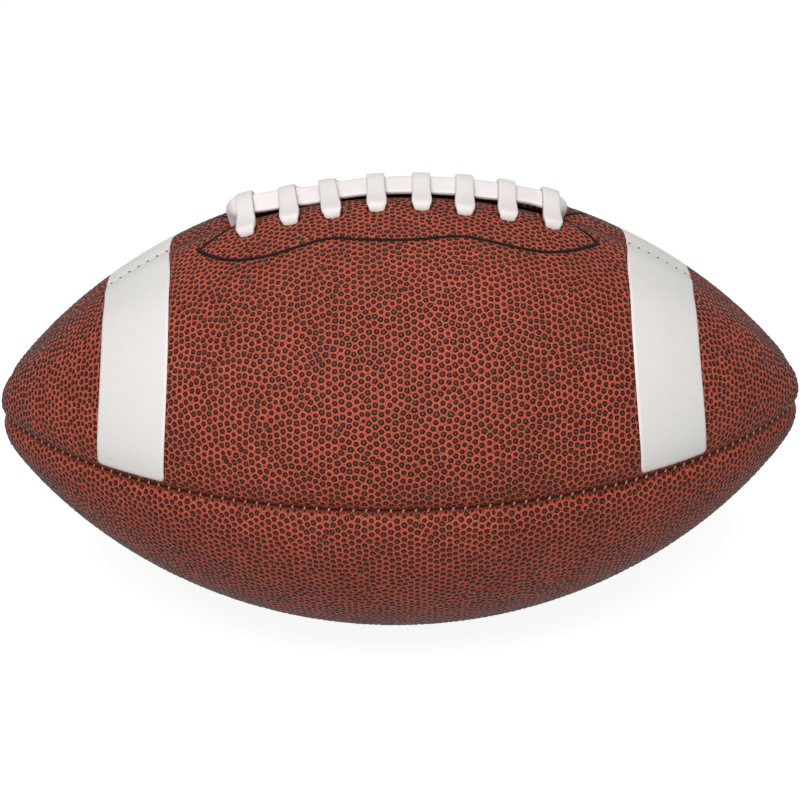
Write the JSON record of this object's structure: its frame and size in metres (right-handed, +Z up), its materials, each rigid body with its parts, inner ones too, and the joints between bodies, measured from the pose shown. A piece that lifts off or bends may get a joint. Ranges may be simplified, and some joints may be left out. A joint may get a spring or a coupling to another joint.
{
  "type": "american football",
  "caption": "Pointed oval ball of sewn pebbled leather panels with a laced slit, white end stripes, cloth lining, bladder and needle valve.",
  "frame": {"origin": "on the surface that the ball lies on, straight below its middle", "axes": "+X along the ball, +Z up through the laces, -Y towards the side that the picture shows"},
  "size_m": [0.2878, 0.1612, 0.1658],
  "materials": {
    "cover": "pebbled composite leather, dark brown pebbles with red-brown valleys",
    "lining": "woven cotton glued in three plies",
    "stripe": "white coated stripe material, faint pebble",
    "lace": "soft vinyl strip, off-white, satin",
    "facing": "split leather, plain",
    "bladder": "smooth black butyl",
    "valve": "moulded black rubber",
    "thread": "waxed golden thread"
  },
  "bodies": {
    "root": {"front_top_panel": "cover", "back_top_panel": "cover", "front_bottom_panel": "cover", "back_bottom_panel": "cover", "front_top_lining": "lining", "back_top_lining": "lining", "front_bottom_lining": "lining", "back_bottom_lining": "lining", "front_left_stripe": "stripe", "front_right_stripe": "stripe", "back_left_stripe": "stripe", "back_right_stripe": "stripe", "lace": "lace", "front_lace_facing": "facing", "back_lace_facing": "facing", "slit_tongue": "facing", "bladder": "bladder", "valve_body": "valve", "valve_slug": "valve", "front_seam_thread": "thread", "back_seam_thread": "thread", "bottom_seam_thread": "thread", "left_laced_seam_thread": "thread", "right_laced_seam_thread": "thread"}
  },
  "joints": []
}
